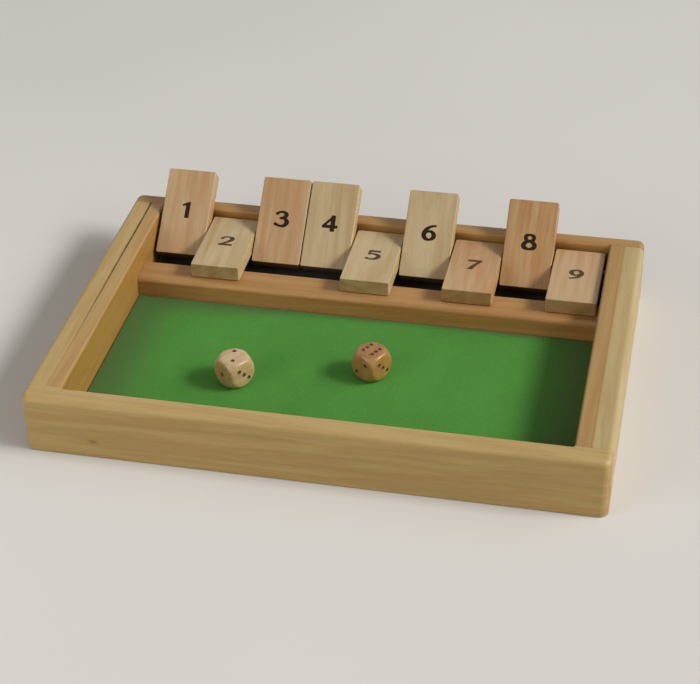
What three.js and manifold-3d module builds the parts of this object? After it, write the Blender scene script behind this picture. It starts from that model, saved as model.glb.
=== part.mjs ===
// Shut the box dice game: a shallow wooden tray with nine flap tiles on a rod, and two dice.
// Millimetres, +Z up. X runs along the row of tiles and +Y points away from the player.

import * as THREE from 'three';
import { mergeVertices } from 'three/addons/utils/BufferGeometryUtils.js';
import Module from 'manifold-3d';

const wasm = await Module();
wasm.setup();

// Tray, outer sizes
const trayWidth = 290;
const trayDepth = 198;
const trayHeight = 33;

// Frame boards and the cheeks glued inside the side boards
const frontThickness = 11;
const backThickness = 9;
const sideThickness = 10.4;
const cheekThickness = 8.1;
const glueLine = 0.1;

// Edges of the frame
const cornerRadius = 4;
const overEdgeRadius = 3;
const footEdgeRadius = 1;
const frontInnerRadius = 1.5;
const leanEdgeRadius = 2;
const cheekEdgeRadius = 1.5;
const seamEdgeRadius = 0.7;

// Floor: a thin panel in a groove of the four boards, with its linings on top
const panelRise = 4.5;
const panelThickness = 3.2;
const panelTongue = 4;
const panelClearance = 0.3;
const feltThickness = 1;
const wellFloorThickness = 0.8;
const liningClearance = 0.3;

// Rail, and the tile well behind it
const railDepth = 16.8;
const railFrontRadius = 3;
const railRearRadius = 1;
const wellDepth = 40.7;

// Rod through the tiles
const rodRadius = 1.5;
const rodFromBack = 15.6;
const rodSeatClearance = 0.2;
const rodEndGap = 0.3;

// Tiles
const tileCount = 9;
const standingTiles = [1, 3, 4, 6, 8];
const tileThickness = 8.4;
const tileOnRail = 11.2;
const tileSideGap = 0.6;
const tileEndGap = 1.7;
const tileCornerRadius = 1.1;
const tileEdgeBevel = 0.5;
const tileRestGap = 0.3;
const tileBoreClearance = 0.25;
const tileSweepClearance = 1.25;
const tileFloorClearance = 1.55;

// Dice
const dieSize = 16;
const dieBallRadius = 10.5;
const dieRestGap = 0.2;
const pipRadius = 1.15;
const pipDepth = 0.6;
const pipSpread = 3;

// How far a cutting solid runs past what it cuts
const overrun = 2;

// Facets
const quarterSteps = 6;
const tileCornerSteps = 4;
const bevelSteps = 5;
const tileBevelSteps = 2;
const roundSteps = 24;
const ballSteps = 40;
const pipSteps = 12;

// Places that follow from the sizes above
const halfWidth = trayWidth / 2;
const cheekOuterX = halfWidth - sideThickness;
const innerHalfWidth = cheekOuterX - cheekThickness;
const backInnerY = trayDepth - backThickness;
const railRearY = backInnerY - wellDepth;
const railFrontY = railRearY - railDepth;
const panelTop = panelRise + panelThickness;
const liningBase = panelTop + glueLine;
const feltTop = liningBase + feltThickness;
const wellFloorTop = liningBase + wellFloorThickness;

const rodY = backInnerY - rodFromBack;
const tailSweep = rodFromBack - tileSweepClearance;
const rodZ = wellFloorTop + tileFloorClearance + tailSweep;
const railTop = rodZ - tileThickness / 2 - tileRestGap;

const tileTail = Math.sqrt(tailSweep ** 2 - (tileThickness / 2) ** 2);
const tileReach = rodY - railRearY + tileOnRail;
const tileSpan = 2 * (innerHalfWidth - tileEndGap);
const tileWidth = (tileSpan - (tileCount - 1) * tileSideGap) / tileCount;
const tilePitch = tileWidth + tileSideGap;

// Where the dice lie, as shares of the rolling area's width and depth, and how each is turned.
// The two dice are drilled alike but for the faces named in crossed, whose pips lie the other way round.
const dieSpots = [
  { name: 'die_1', widthShare: -0.21, depthShare: 0.43, yaw: -126, roll: 0, crossed: [3] },
  { name: 'die_2', widthShare: 0.06, depthShare: 0.58, yaw: -121, roll: 90, crossed: [2, 6] },
];

// Pips of a face, as shares of the pips' spread from the middle
const pipShares = {
  1: [[0, 0]],
  2: [[-1, -1], [1, 1]],
  3: [[-1, -1], [0, 0], [1, 1]],
  4: [[-1, -1], [-1, 1], [1, -1], [1, 1]],
  5: [[-1, -1], [-1, 1], [0, 0], [1, -1], [1, 1]],
  6: [[-1, -1], [-1, 0], [-1, 1], [1, -1], [1, 0], [1, 1]],
};

// Turns that bring the +Z face of a die to each of its sides; opposite faces add up to seven
const dieFaces = [
  { pips: 2, turn: [0, 0] },
  { pips: 5, turn: [Math.PI, 0] },
  { pips: 1, turn: [0, Math.PI / 2] },
  { pips: 6, turn: [0, -Math.PI / 2] },
  { pips: 3, turn: [-Math.PI / 2, 0] },
  { pips: 4, turn: [Math.PI / 2, 0] },
];

const maple = new THREE.MeshStandardMaterial({ color: 0xcfa873, roughness: 0.5, metalness: 0 });
const railWood = new THREE.MeshStandardMaterial({ color: 0xbd8a4f, roughness: 0.5, metalness: 0 });
const tileWood = new THREE.MeshStandardMaterial({ color: 0xd3ad7d, roughness: 0.55, metalness: 0 });
const dieWood = new THREE.MeshStandardMaterial({ color: 0xd2a26a, roughness: 0.4, metalness: 0 });
const plywood = new THREE.MeshStandardMaterial({ color: 0xb99367, roughness: 0.7, metalness: 0 });
const felt = new THREE.MeshStandardMaterial({ color: 0x3f8a35, roughness: 1, metalness: 0 });
const blackBoard = new THREE.MeshStandardMaterial({ color: 0x1e2528, roughness: 0.8, metalness: 0 });
const steel = new THREE.MeshStandardMaterial({ color: 0xa8abad, roughness: 0.3, metalness: 1 });

// Outlines

function arc(centreX, centreY, radius, fromAngle, toAngle, steps) {
  const points = [];
  for (let i = 0; i <= steps; i += 1) {
    const angle = fromAngle + ((toAngle - fromAngle) * i) / steps;
    points.push(new THREE.Vector2(centreX + radius * Math.cos(angle), centreY + radius * Math.sin(angle)));
  }
  return points;
}

// A rectangle with a radius of its own on each corner, counted from bottom left, anticlockwise
function roundedRectangle(left, bottom, right, top, radii, steps = quarterSteps) {
  const corners = [
    { x: left, y: bottom, inX: 1, inY: 1 },
    { x: right, y: bottom, inX: -1, inY: 1 },
    { x: right, y: top, inX: -1, inY: -1 },
    { x: left, y: top, inX: 1, inY: -1 },
  ];
  const points = corners.flatMap(({ x, y, inX, inY }, i) => {
    const radius = radii[i];
    if (radius === 0) {
      return [new THREE.Vector2(x, y)];
    }
    const start = Math.PI + (i * Math.PI) / 2;
    return arc(x + inX * radius, y + inY * radius, radius, start, start + Math.PI / 2, steps);
  });
  return new THREE.Shape(points);
}

// What a round-over takes off a board's inner top edge; side is +1 where the wood lies towards +Y
function roundOverOutline(edgeY, side, radius) {
  const centreY = edgeY + side * radius;
  const away = side > 0 ? Math.PI : 0;
  const outline = arc(centreY, trayHeight - radius, radius, Math.PI / 2, away, quarterSteps);
  outline.push(new THREE.Vector2(edgeY - side * overrun, trayHeight - radius));
  outline.push(new THREE.Vector2(edgeY - side * overrun, trayHeight + overrun));
  outline.push(new THREE.Vector2(centreY, trayHeight + overrun));
  return new THREE.Shape(outline);
}

// Extrusions, square to the three axes

// The outline's own axes are Y and Z
function extrudeAlongX(shape, fromX, toX) {
  const geometry = new THREE.ExtrudeGeometry(shape, { depth: toX - fromX, bevelEnabled: false });
  const axes = new THREE.Matrix4().makeBasis(
    new THREE.Vector3(0, 1, 0),
    new THREE.Vector3(0, 0, 1),
    new THREE.Vector3(1, 0, 0),
  );
  return geometry.applyMatrix4(axes).translate(fromX, 0, 0);
}

// The outline's own axes are X and Z
function extrudeAlongY(shape, fromY, toY) {
  const geometry = new THREE.ExtrudeGeometry(shape, { depth: toY - fromY, bevelEnabled: false });
  const axes = new THREE.Matrix4().makeBasis(
    new THREE.Vector3(1, 0, 0),
    new THREE.Vector3(0, 0, 1),
    new THREE.Vector3(0, -1, 0),
  );
  return geometry.applyMatrix4(axes).translate(0, toY, 0);
}

// The outline's own axes are X and Y; both flat faces are rounded over by the bevel
function extrudeAlongZ(shape, fromZ, toZ, bevel, steps) {
  const geometry = new THREE.ExtrudeGeometry(shape, {
    depth: toZ - fromZ - 2 * bevel,
    bevelEnabled: true,
    bevelThickness: bevel,
    bevelSize: bevel,
    bevelOffset: -bevel,
    bevelSegments: steps,
  });
  return geometry.translate(0, 0, fromZ + bevel);
}

function block(fromX, toX, fromY, toY, fromZ, toZ) {
  const geometry = new THREE.BoxGeometry(toX - fromX, toY - fromY, toZ - fromZ);
  return geometry.translate((fromX + toX) / 2, (fromY + toY) / 2, (fromZ + toZ) / 2);
}

// A round bar along X, centred on the given height and depth
function barAlongX(radius, fromX, toX, y, z) {
  const geometry = new THREE.CylinderGeometry(radius, radius, toX - fromX, roundSteps);
  return geometry.rotateZ(Math.PI / 2).translate((fromX + toX) / 2, y, z);
}

// Solids

function solidOf(geometry) {
  const bare = geometry.clone();
  bare.deleteAttribute('normal');
  bare.deleteAttribute('uv');
  const welded = mergeVertices(bare);
  return new wasm.Manifold(new wasm.Mesh({
    numProp: 3,
    vertProperties: Float32Array.from(welded.attributes.position.array),
    triVerts: Uint32Array.from(welded.index.array),
  }));
}

function geometryOf(solid) {
  const mesh = solid.getMesh();
  const geometry = new THREE.BufferGeometry();
  geometry.setAttribute('position', new THREE.BufferAttribute(Float32Array.from(mesh.vertProperties), 3));
  geometry.setIndex(new THREE.BufferAttribute(Uint32Array.from(mesh.triVerts), 1));
  geometry.computeVertexNormals();
  return geometry;
}

function addPiece(parent, name, geometry, material) {
  const mesh = new THREE.Mesh(geometry, material);
  mesh.name = name;
  parent.add(mesh);
  return mesh;
}

// Frame

// The outside of the whole frame: round upright corners, the top edge rounded over, the foot eased
function frameHull() {
  const radii = [cornerRadius, cornerRadius, cornerRadius, cornerRadius];
  const plan = roundedRectangle(-halfWidth, 0, halfWidth, trayDepth, radii);
  const below = -overEdgeRadius - overrun;
  const above = trayHeight + footEdgeRadius + overrun;
  const topped = solidOf(extrudeAlongZ(plan, below, trayHeight, overEdgeRadius, bevelSteps));
  const footed = solidOf(extrudeAlongZ(plan, 0, above, footEdgeRadius, bevelSteps));
  return topped.intersect(footed);
}

// The groove that holds the panel's edge, as one block that all four boards are cut by
function panelPocket() {
  const x = cheekOuterX + panelTongue + panelClearance;
  const nearY = frontThickness - panelTongue - panelClearance;
  const farY = backInnerY + panelTongue + panelClearance;
  return solidOf(block(-x, x, nearY, farY, panelRise - panelClearance, panelTop + panelClearance));
}

function endBoard(hull, pocket, edgeY, side, radius) {
  const outerY = side < 0 ? -overrun : trayDepth + overrun;
  const x = halfWidth + overrun;
  const stock = solidOf(block(-x, x, Math.min(edgeY, outerY), Math.max(edgeY, outerY), -overrun, trayHeight));
  const roundOver = solidOf(extrudeAlongX(roundOverOutline(edgeY, side, radius), -innerHalfWidth, innerHalfWidth));
  return hull.intersect(stock).subtract(pocket).subtract(roundOver);
}

function sideBoard(hull, pocket, side) {
  const outerX = halfWidth + overrun;
  const radii = side < 0 ? [0, 0, seamEdgeRadius, 0] : [0, 0, 0, seamEdgeRadius];
  const left = side < 0 ? -outerX : cheekOuterX;
  const right = side < 0 ? -cheekOuterX : outerX;
  const section = roundedRectangle(left, -overrun, right, trayHeight, radii);
  const stock = solidOf(extrudeAlongY(section, frontThickness + glueLine, backInnerY - glueLine));
  return hull.intersect(stock).subtract(pocket);
}

// Inner strip on the panel against the side board, drilled for the rod's end
function cheek(side) {
  const outer = cheekOuterX - glueLine;
  const radii = side < 0
    ? [0, 0, cheekEdgeRadius, seamEdgeRadius]
    : [0, 0, seamEdgeRadius, cheekEdgeRadius];
  const left = side < 0 ? -outer : innerHalfWidth;
  const right = side < 0 ? -innerHalfWidth : outer;
  const section = roundedRectangle(left, liningBase, right, trayHeight, radii);
  const stock = solidOf(extrudeAlongY(section, frontThickness + glueLine, backInnerY - glueLine));
  const seat = barAlongX(rodRadius + rodSeatClearance, left - overrun, right + overrun, rodY, rodZ);
  return stock.subtract(solidOf(seat));
}

function addFrame(tray) {
  const hull = frameHull();
  const pocket = panelPocket();
  const front = endBoard(hull, pocket, frontThickness, -1, frontInnerRadius);
  const back = endBoard(hull, pocket, backInnerY, 1, leanEdgeRadius);
  addPiece(tray, 'front_board', geometryOf(front), maple);
  addPiece(tray, 'back_board', geometryOf(back), maple);
  addPiece(tray, 'left_board', geometryOf(sideBoard(hull, pocket, -1)), maple);
  addPiece(tray, 'right_board', geometryOf(sideBoard(hull, pocket, 1)), maple);
  addPiece(tray, 'left_cheek', geometryOf(cheek(-1)), maple);
  addPiece(tray, 'right_cheek', geometryOf(cheek(1)), maple);
}

// Floor

function addFloor(tray) {
  const panelX = cheekOuterX + panelTongue;
  const panel = block(
    -panelX, panelX, frontThickness - panelTongue, backInnerY + panelTongue, panelRise, panelTop,
  );
  addPiece(tray, 'base_panel', panel, plywood);

  const liningX = innerHalfWidth - liningClearance;
  const feltNearY = frontThickness + liningClearance;
  const feltFarY = railFrontY - liningClearance;
  addPiece(tray, 'felt_sheet', block(-liningX, liningX, feltNearY, feltFarY, liningBase, feltTop), felt);

  const wellNearY = railRearY + liningClearance;
  const wellFarY = backInnerY - liningClearance;
  const wellFloor = block(-liningX, liningX, wellNearY, wellFarY, liningBase, wellFloorTop);
  addPiece(tray, 'well_floor', wellFloor, blackBoard);
}

// Rail and rod

function addRailAndRod(tray) {
  const section = roundedRectangle(
    railFrontY, liningBase, railRearY, railTop, [0, 0, railRearRadius, railFrontRadius],
  );
  const railX = innerHalfWidth - glueLine;
  addPiece(tray, 'rail', extrudeAlongX(section, -railX, railX), railWood);

  const rodX = cheekOuterX - rodEndGap;
  addPiece(tray, 'tile_rod', barAlongX(rodRadius, -rodX, rodX, rodY, rodZ), steel);
}

// Tiles

// A tile about its own bore, lying flat with its free end towards the player
function tileGeometry() {
  const radii = [tileCornerRadius, tileCornerRadius, tileCornerRadius, tileCornerRadius];
  const plan = roundedRectangle(-tileWidth / 2, -tileReach, tileWidth / 2, tileTail, radii, tileCornerSteps);
  const slab = extrudeAlongZ(plan, -tileThickness / 2, tileThickness / 2, tileEdgeBevel, tileBevelSteps);
  const boreX = tileWidth / 2 + overrun;
  const bore = barAlongX(rodRadius + tileBoreClearance, -boreX, boreX, 0, 0);
  return geometryOf(solidOf(slab).subtract(solidOf(bore)));
}

// How far a tile turns before it leans on the back board: its lower face comes to rest, a gap short,
// on the round inner top edge, which is an arc about a centre of its own
function leanAngle() {
  const arcY = rodFromBack + leanEdgeRadius;
  const arcZ = trayHeight - leanEdgeRadius - rodZ;
  const standOff = tileThickness / 2 + tileRestGap + leanEdgeRadius;
  const slope = Math.atan2(arcZ, arcY) + Math.asin(standOff / Math.hypot(arcY, arcZ));
  return Math.PI - slope;
}

function addTiles(tray) {
  const geometry = tileGeometry();
  const lean = leanAngle();
  for (let number = 1; number <= tileCount; number += 1) {
    const tile = addPiece(tray, `tile_${number}`, geometry, tileWood);
    tile.position.set((number - (tileCount + 1) / 2) * tilePitch, rodY, rodZ);
    if (standingTiles.includes(number)) {
      tile.rotation.x = -lean;
    }
  }
}

// Dice

// A cube turned down to a ball on its edges and corners, with its pips drilled as shallow cups
function dieGeometry(crossed) {
  const half = dieSize / 2;
  const cube = solidOf(new THREE.BoxGeometry(dieSize, dieSize, dieSize));
  const ball = solidOf(new THREE.SphereGeometry(dieBallRadius, ballSteps, ballSteps / 2));
  const cupRadius = (pipRadius ** 2 + pipDepth ** 2) / (2 * pipDepth);
  const cupHeight = half + cupRadius - pipDepth;
  let die = cube.intersect(ball);
  for (const { pips, turn } of dieFaces) {
    for (const [shareX, shareY] of pipShares[pips]) {
      const cup = new THREE.SphereGeometry(cupRadius, pipSteps, pipSteps);
      cup.translate(shareX * pipSpread, shareY * pipSpread, cupHeight);
      cup.rotateZ(crossed.includes(pips) ? Math.PI / 2 : 0);
      cup.rotateX(turn[0]).rotateY(turn[1]);
      die = die.subtract(solidOf(cup));
    }
  }
  return geometryOf(die);
}

function addDice(tray) {
  const rollingDepth = railFrontY - frontThickness;
  for (const { name, widthShare, depthShare, yaw, roll, crossed } of dieSpots) {
    const die = addPiece(tray, name, dieGeometry(crossed), dieWood);
    die.position.set(
      widthShare * 2 * innerHalfWidth,
      frontThickness + depthShare * rollingDepth,
      feltTop + dieRestGap + dieSize / 2,
    );
    die.rotation.set(0, THREE.MathUtils.degToRad(roll), THREE.MathUtils.degToRad(yaw), 'ZYX');
  }
}

// The whole game, with its origin under the middle of its own outer box

const tray = new THREE.Group();
addFrame(tray);
addFloor(tray);
addRailAndRod(tray);
addTiles(tray);
addDice(tray);

const box = new THREE.Box3().setFromObject(tray, true);
tray.position.y = -(box.min.y + box.max.y) / 2;

const shutTheBox = new THREE.Group();
shutTheBox.add(tray);

export default shutTheBox;
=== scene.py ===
"""A shut the box game: a wooden tray with a felt floor, nine numbered tiles and two wooden dice.

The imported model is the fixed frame. Its boards, strips, rail, rod and tiles keep their own shapes
and get their finishes here. The felt, the dice, the printed figures and the two lines of glue in
the tray's joints are made here, and ride on the bodies of the frame. Lengths in the classes are
millimetres, unless a name says otherwise, and Blender's own are metres.
"""

from __future__ import annotations

import logging
import math
from dataclasses import dataclass, replace
from enum import Enum
from typing import Sequence

import bmesh
import bpy
import numpy as np
from mathutils import Euler, Matrix, Vector, geometry, noise

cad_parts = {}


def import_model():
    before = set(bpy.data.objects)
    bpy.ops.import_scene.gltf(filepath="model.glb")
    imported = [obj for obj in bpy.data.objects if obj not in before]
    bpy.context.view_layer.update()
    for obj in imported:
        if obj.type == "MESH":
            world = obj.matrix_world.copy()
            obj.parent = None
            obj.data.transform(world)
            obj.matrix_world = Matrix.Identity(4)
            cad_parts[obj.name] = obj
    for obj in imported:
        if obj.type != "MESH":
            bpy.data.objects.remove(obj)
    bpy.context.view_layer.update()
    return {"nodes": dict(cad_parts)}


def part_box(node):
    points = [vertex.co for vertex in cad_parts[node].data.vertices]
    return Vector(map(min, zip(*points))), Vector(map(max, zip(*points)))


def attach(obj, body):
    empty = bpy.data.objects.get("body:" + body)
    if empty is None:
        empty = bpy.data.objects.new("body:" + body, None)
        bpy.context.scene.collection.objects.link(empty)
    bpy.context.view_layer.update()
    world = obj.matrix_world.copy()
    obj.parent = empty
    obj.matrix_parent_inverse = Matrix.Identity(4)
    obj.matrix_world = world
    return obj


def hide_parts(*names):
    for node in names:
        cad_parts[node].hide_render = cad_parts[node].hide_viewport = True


LOG = logging.getLogger("shut_the_box")
MM = 0.001
Socket = bpy.types.NodeSocket
Colour = tuple[float, float, float, float]
Triple = tuple[float, float, float]
Pair = tuple[float, float]
Shade = tuple[int, int, int]

# From no share to the whole, and the values between which most of a noise lies
WHOLE: Pair = (0.0, 1.0)
MOST: Pair = (0.3, 0.7)


def paint(red: int, green: int, blue: int) -> Colour:
    """Turns a colour as a screen shows it into the linear one that a shader takes.

    Args:
        red: Red from 0 to 255.
        green: Green from 0 to 255.
        blue: Blue from 0 to 255.

    Returns:
        The linear colour, with full cover.
    """
    def straight(value: int) -> float:
        """Undoes the screen's curve for one channel."""
        share = value / 255
        return share / 12.92 if share <= 0.04045 else ((share + 0.055) / 1.055) ** 2.4

    return straight(red), straight(green), straight(blue), 1.0


class Grain(Enum):
    """Which way the grain of a piece runs, as the turn about Z that lays it along X."""

    ALONG_X = 0.0
    ALONG_Y = -90.0


class Rest(Enum):
    """How a tile rests: flat on the rail, or tipped over against the back board."""

    LYING = "lying"
    STANDING = "standing"


class Face(Enum):
    """A face of a tile that carries its figure, as the turn about X that brings it there."""

    TOP = 0.0
    UNDER = 180.0


@dataclass(frozen=True)
class Texture:
    """A noise laid on a piece.

    waves are for each millimetre along X, Y and Z. detail is how many finer layers it has, and
    rough how strong they are. shows holds the values at which its patches start and are full, and
    gives what they give there.
    """

    waves: Triple
    detail: float = 2.0
    rough: float = 0.5
    shows: Pair = MOST
    gives: Pair = WHOLE


class Nodes:
    """A node tree, with short ways to add nodes and to join them."""

    def __init__(self, tree: bpy.types.NodeTree) -> None:
        """Starts on a tree, and clears it."""
        self.tree = tree
        self.tree.nodes.clear()

    def add(self, kind: str, **settings: object) -> bpy.types.Node:
        """Adds a node.

        Args:
            kind: The node's type name.
            settings: Attributes to set on it.

        Returns:
            The new node.
        """
        node = self.tree.nodes.new(kind)
        for key, value in settings.items():
            setattr(node, key, value)
        return node

    def feed(self, sockets: Sequence[Socket], *values: object) -> None:
        """Joins sockets to other ones, or sets them to plain values.

        Args:
            sockets: The sockets.
            values: Sockets or plain values, in the same order.
        """
        for socket, value in zip(sockets, values):
            if isinstance(value, bpy.types.NodeSocket):
                self.tree.links.new(value, socket)
            else:
                socket.default_value = value

    def math(self, operation: str, *values: object) -> Socket:
        """Adds a Math node.

        Args:
            operation: What it does, such as ADD.
            values: Sockets or numbers, in order.

        Returns:
            Its result.
        """
        node = self.add("ShaderNodeMath", operation=operation)
        self.feed(node.inputs, *values)
        return node.outputs[0]


class Bench(Nodes):
    """A material's node tree, with short ways to lay textures and to mix colours."""

    def __init__(self, name: str) -> None:
        """Starts a material with one Principled shader.

        Args:
            name: The material's name.
        """
        self.material = bpy.data.materials.new(name)
        self.material.use_nodes = True
        super().__init__(self.material.node_tree)
        output = self.add("ShaderNodeOutputMaterial")
        self.shader = self.add("ShaderNodeBsdfPrincipled")
        self.feed([output.inputs["Surface"]], self.shader.outputs["BSDF"])

    def finish(self, **values: object) -> bpy.types.Material:
        """Sets the shader's own sockets; an underscore in a name stands for a space.

        Args:
            values: Sockets or plain values, by the name of the shader's socket.

        Returns:
            The finished material.
        """
        for name, value in values.items():
            self.feed([self.shader.inputs[name.replace("_", " ")]], value)
        return self.material

    def times(self, first: object, second: object) -> Socket:
        """Multiplies two values."""
        return self.math("MULTIPLY", first, second)

    def scaled(self, value: Socket, factor: object, extra: object) -> Socket:
        """Multiplies a value by a factor and adds an extra to it."""
        return self.math("MULTIPLY_ADD", value, factor, extra)

    def vector(self, operation: str, *values: object) -> Socket:
        """Adds a Vector Math node.

        Args:
            operation: What it does, such as MULTIPLY.
            values: Sockets or triples, in order.

        Returns:
            Its vector, or its value for an operation that gives one.
        """
        node = self.add("ShaderNodeVectorMath", operation=operation)
        self.feed(node.inputs, *values)
        return node.outputs["Value" if operation in ("LENGTH", "DOT_PRODUCT") else "Vector"]

    def tint(self, colour: object, strength: Socket) -> Socket:
        """Makes a colour lighter or darker.

        Args:
            colour: The colour.
            strength: The factor.

        Returns:
            The new colour.
        """
        node = self.add("ShaderNodeVectorMath", operation="SCALE")
        self.feed([node.inputs["Vector"], node.inputs["Scale"]], colour, strength)
        return node.outputs["Vector"]

    def axes(self, place: Socket) -> Sequence[Socket]:
        """Takes a place apart.

        Args:
            place: The place.

        Returns:
            Its X, Y and Z.
        """
        node = self.add("ShaderNodeSeparateXYZ")
        self.feed(node.inputs, place)
        return node.outputs

    def line(self, value: Socket) -> Socket:
        """Makes a place on a line, so that a texture varies with one value alone.

        Args:
            value: The value.

        Returns:
            The place.
        """
        node = self.add("ShaderNodeCombineXYZ")
        self.feed(node.inputs, value)
        return node.outputs[0]

    def place(self) -> Socket:
        """Gives the piece's own coordinates, in millimetres."""
        where = self.add("ShaderNodeTexCoord").outputs["Object"]
        return self.vector("MULTIPLY", where, (1 / MM,) * 3)

    def noise(self, place: Socket, texture: Texture, output: int = 0) -> Socket:
        """Lays a noise.

        Args:
            place: The coordinates, in millimetres.
            texture: The noise.
            output: 0 for one value, 1 for three of them.

        Returns:
            The noise's values, from 0 to 1.
        """
        node = self.add("ShaderNodeTexNoise")
        sockets = [node.inputs[name] for name in ("Vector", "Scale", "Detail", "Roughness")]
        waves = self.vector("MULTIPLY", place, texture.waves)
        self.feed(sockets, waves, 1.0, texture.detail, texture.rough)
        return node.outputs[output]

    def patches(self, place: Socket, texture: Texture) -> Socket:
        """Lays a noise as patches, with what it gives outside them and in them."""
        return self.span(self.noise(place, texture), texture.shows, texture.gives)

    def stir(self, place: Socket, *sways: tuple[Texture, float]) -> Socket:
        """Lets a place wander.

        Args:
            place: The coordinates, in millimetres.
            sways: Noises, and how far each moves the place either way, in millimetres.

        Returns:
            The place after all the steps.
        """
        stirred = place
        for texture, reach in sways:
            wave = self.vector("SUBTRACT", self.noise(place, texture, output=1), (0.5,) * 3)
            step = self.vector("MULTIPLY", wave, (2 * reach,) * 3)
            stirred = self.vector("ADD", stirred, step)
        return stirred

    def span(self, value: Socket, reach: Pair, result: Pair = WHOLE) -> Socket:
        """Spreads a value smoothly over a new range.

        Args:
            value: What comes in.
            reach: The two values that give the two ends of the result.
            result: The results there and beyond.

        Returns:
            The spread value.
        """
        node = self.add("ShaderNodeMapRange", interpolation_type="SMOOTHSTEP")
        self.feed(node.inputs, value, *reach, *result)
        return node.outputs[0]

    def blend(self, share: object, first: object, second: object) -> Socket:
        """Mixes two colours.

        Args:
            share: How much of the second shows.
            first: The colour underneath.
            second: The colour over it.

        Returns:
            The mixed colour.
        """
        node = self.add("ShaderNodeMix", data_type="RGBA", clamp_factor=True)
        self.feed([node.inputs[k] for k in (0, 6, 7)], share, first, second)
        return node.outputs[2]

    def curve(self, value: Socket, stops: Sequence[Pair]) -> Socket:
        """Runs a value through a grey ramp.

        Args:
            value: What comes in, from 0 to 1.
            stops: Places and the greys there.

        Returns:
            The grey as a value.
        """
        node = self.add("ShaderNodeValToRGB")
        band = node.color_ramp
        while len(band.elements) < len(stops):
            band.elements.new(0.5)
        for element, (place, grey) in zip(band.elements, stops):
            element.position = place
            element.color = (grey, grey, grey, 1.0)
        self.feed(node.inputs, value)
        return node.outputs[0]

    def bump(self, height: Socket, depth: float, strength: float) -> Socket:
        """Adds a Bump node.

        Args:
            height: The height, from 0 to 1.
            depth: How deep a step from 0 to 1 is, in millimetres.
            strength: How much of it shows.

        Returns:
            The normal.
        """
        node = self.add("ShaderNodeBump")
        sockets = [node.inputs[name] for name in ("Strength", "Distance", "Height")]
        self.feed(sockets, strength, depth * MM, height)
        return node.outputs[0]


@dataclass(frozen=True)
class Knot:
    """A small pin knot in a board.

    place is in the row frame. The rings bend round it by push, between core and reach from its
    middle. Its dark heart fades from fades to rim times the reach, and covers the wood by cover.
    A way along the grain counts by long.
    """

    place: Triple
    reach: float = 6.0
    push: float = 3.0
    core: float = 0.2
    fades: float = 0.3
    rim: float = 0.34
    long: float = 0.55
    dark: Colour = paint(136, 84, 34)
    cover: float = 0.6


@dataclass(frozen=True)
class Seam:
    """Finish and dust gathered in the groove of a glued joint that runs along Y.

    across is where it is, and near and far are how dark it is at start and at end along Y. It is
    full up to a share of its reach, and patches say how much of it shows along the joint.
    """

    across: float
    near: float
    far: float
    start: float = -80.0
    end: float = 60.0
    reach: float = 0.8
    full: float = 0.4
    dust: Colour = paint(72, 44, 22)
    patches: Texture = Texture((0.09, 1.0, 1.0), shows=(0.3, 0.6), gives=(0.7, 1.0))


@dataclass(frozen=True)
class Cut:
    """How a piece was cut from its log.

    middle is the piece's middle in its own coordinates. pith is where the log's heart runs, across
    the grain, seen from there. lean is how far the heart turns from the piece's length, in degrees
    about the two directions across it. turned is the piece's own turn about X at rest, which its
    grain turns with. The end shade is painted shade: how bright the end towards the log's top is
    drawn, beside the other end. On a tile, that end is the tail, in the shade of the well.
    apart and first are lengths of log, so that no two seeds show the same stretch.
    """

    grain: Grain
    middle: Triple
    pith: Pair
    lean: Pair = (0.0, 0.0)
    seed: float = 0.0
    turned: float = 0.0
    end_shade: float = 1.0
    knot: Knot | None = None
    seam: Seam | None = None
    apart: float = 97.0
    first: float = 11.0

    def turn(self) -> Matrix:
        """Works out how the piece lay in the log.

        Returns:
            The turn from its coordinates to the log's own, in which the heart runs along X.
        """
        own = Matrix.Rotation(math.radians(-self.turned), 3, "X")
        laid = Matrix.Rotation(math.radians(self.grain.value), 3, "Z")
        leant = Euler((0.0, math.radians(self.lean[0]), math.radians(self.lean[1]))).to_matrix()
        return leant @ laid @ own

    def shift(self) -> Vector:
        """Gives the step, after the turn, that brings the heart to the X axis."""
        away = Vector((self.apart * self.seed + self.first, -self.pith[0], -self.pith[1]))
        return away - self.turn() @ Vector(self.middle)


# Wood's textures: waves along the log's heart, and twice across it
BOARD_SWAY = Texture((0.006, 0.035, 0.035))
RING_SWAY = Texture((0.03, 0.22, 0.22))
RING_WEIGHT = Texture((0.005, 0.07, 0.07), shows=(0.34, 0.66), gives=(0.1, 1.0))
STREAK_SWAY = Texture((0.012, 0.1, 0.1))
FLECKS = Texture((0.03, 0.3, 0.3), shows=(0.44, 0.66), gives=(0.1, 1.0))
FIBRES = Texture((0.022, 1.5, 1.5), 4.0, 0.62, (0.28, 0.72))
FINE_FIBRES = Texture((0.09, 5.2, 5.2), 3.0, 0.6, (0.25, 0.75))
PORES = Texture((0.32, 4.4, 4.4), 1.0, 0.4, (0.60, 0.70))
WARM_PATCHES = Texture((0.006, 0.05, 0.05), 3.0, 0.55, (0.40, 0.66), (0.25, 1.0))

# How dark a year's growth is, from its start in spring to its hard summer edge
RING_TONES = ((0.0, 0.30), (0.16, 0.0), (0.5, 0.22), (0.78, 0.66), (0.92, 1.0), (1.0, 0.30))

# How squarely a face must look along or across the grain to count as an end or a flank
FLANK_SHOWS, END_SHOWS, SHADED_END_SHOWS = (0.55, 0.97), (0.72, 0.97), (0.35, 0.75)


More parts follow.
